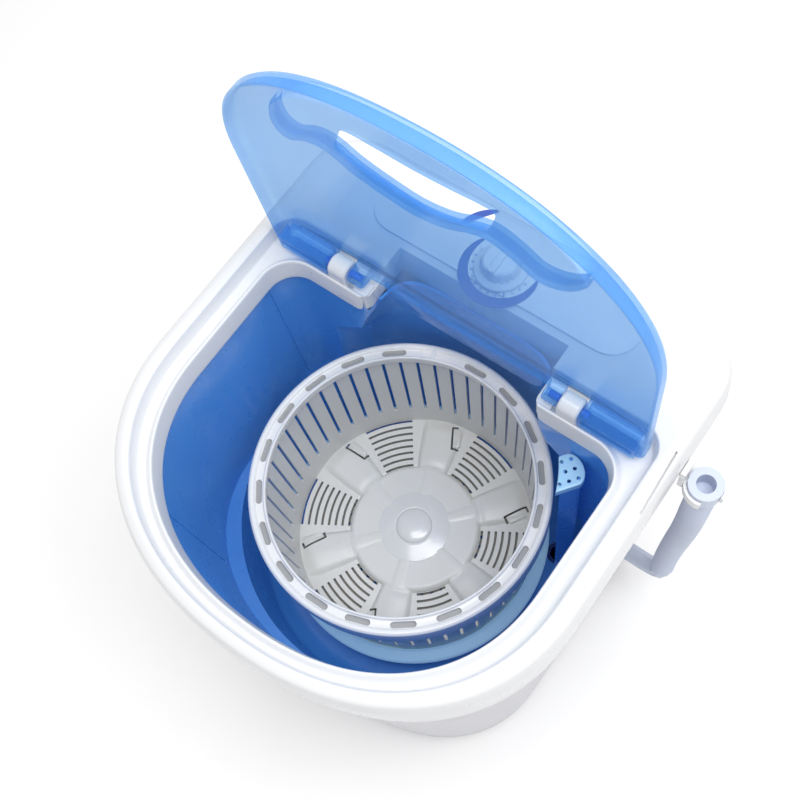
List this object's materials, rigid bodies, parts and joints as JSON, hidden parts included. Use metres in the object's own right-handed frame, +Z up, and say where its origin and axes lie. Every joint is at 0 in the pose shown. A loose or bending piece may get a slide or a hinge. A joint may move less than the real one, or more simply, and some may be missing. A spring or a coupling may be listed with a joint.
{
  "type": "top load washing machine",
  "caption": "Small top-loading washing machine with a bowed front, D-shaped tub, spin basket, hinged clear lid, timer knob and a side drain hose.",
  "frame": {"origin": "on the floor under the middle of the cabinet box", "axes": "+Z up, -Y out of the bowed front, +X towards the side with the drain hose"},
  "size_m": [0.3951, 0.373, 0.7298],
  "materials": {
    "white_plastic": "smooth moulded, faint texture",
    "tub_blue": "smooth moulded",
    "clear_blue": "translucent, polished",
    "pale_blue": "smooth moulded",
    "basket_grey": "satin moulded",
    "rubber_black": "matte",
    "steel": "brushed",
    "zinc": "zinc plated",
    "hose_grey": "ribbed, satin",
    "black_plastic": "matte",
    "navy_plastic": "smooth"
  },
  "bodies": {
    "cabinet": {"back_cover": "white_plastic", "back_screw_1": "steel", "back_screw_2": "steel", "back_screw_3": "steel", "back_screw_4": "steel", "base_plate": "zinc", "bearing_housing": "zinc", "cabinet_shell": "white_plastic", "capacitor": "white_plastic", "capacitor_clip": "steel", "control_panel": "white_plastic", "cord_gland": "black_plastic", "drain_elbow": "hose_grey", "drain_hose": "hose_grey", "drain_pipe": "rubber_black", "drive_belt": "black_plastic", "foot_front_left": "rubber_black", "foot_front_right": "rubber_black", "foot_rear_left": "rubber_black", "foot_rear_right": "rubber_black", "foot_screw_front_left": "steel", "foot_screw_front_right": "steel", "foot_screw_rear_left": "steel", "foot_screw_rear_right": "steel", "hose_cuff": "hose_grey", "hose_hook": "white_plastic", "lower_bearing": "steel", "motor": "zinc", "motor_bracket": "zinc", "motor_grommet_1": "rubber_black", "motor_grommet_2": "rubber_black", "motor_grommet_3": "rubber_black", "overflow_cover": "pale_blue", "shaft_seal": "rubber_black", "timer_body": "black_plastic", "top_frame": "white_plastic", "upper_bearing": "steel", "wash_tub": "tub_blue", "water_inlet": "white_plastic"},
    "rotor": {"pulsator": "tub_blue", "drive_shaft": "steel", "driven_pulley": "zinc"},
    "basket": {"basket": "basket_grey", "basket_rim": "basket_grey", "basket_cap": "basket_grey"},
    "motor_rotor": {"motor_shaft": "steel", "motor_pulley": "zinc"},
    "lid": {"lid": "clear_blue", "hinge_pin_left": "navy_plastic", "hinge_pin_right": "navy_plastic"},
    "knob": {"timer_shaft": "steel", "timer_knob": "white_plastic"}
  },
  "joints": [
    {"name": "lid_hinge", "type": "hinge", "parent": "cabinet", "child": "lid", "pos_m": [0, 0.0785, 0.4785], "axis": [1, 0, 0], "range_deg": [0, 87.5]},
    {"name": "drum_spin", "type": "hinge", "parent": "cabinet", "child": "rotor", "pos_m": [0, -0.0085, 0.18], "axis": [0, 0, 1], "continuous": true},
    {"name": "basket_lift", "type": "slide", "parent": "rotor", "child": "basket", "axis": [0, 0, 1], "range_m": [0, 0.012]},
    {"name": "motor_spin", "type": "hinge", "parent": "cabinet", "child": "motor_rotor", "pos_m": [-0.078, 0.0575, 0.13], "axis": [0, 0, 1], "continuous": true},
    {"name": "timer_turn", "type": "hinge", "parent": "cabinet", "child": "knob", "pos_m": [0, 0.1395, 0.49], "axis": [0, 0, 1], "range_deg": [-330, 0]}
  ],
  "couplings": [
    {"joint": "motor_spin", "follows": "drum_spin", "ratio": 4.7398}
  ]
}
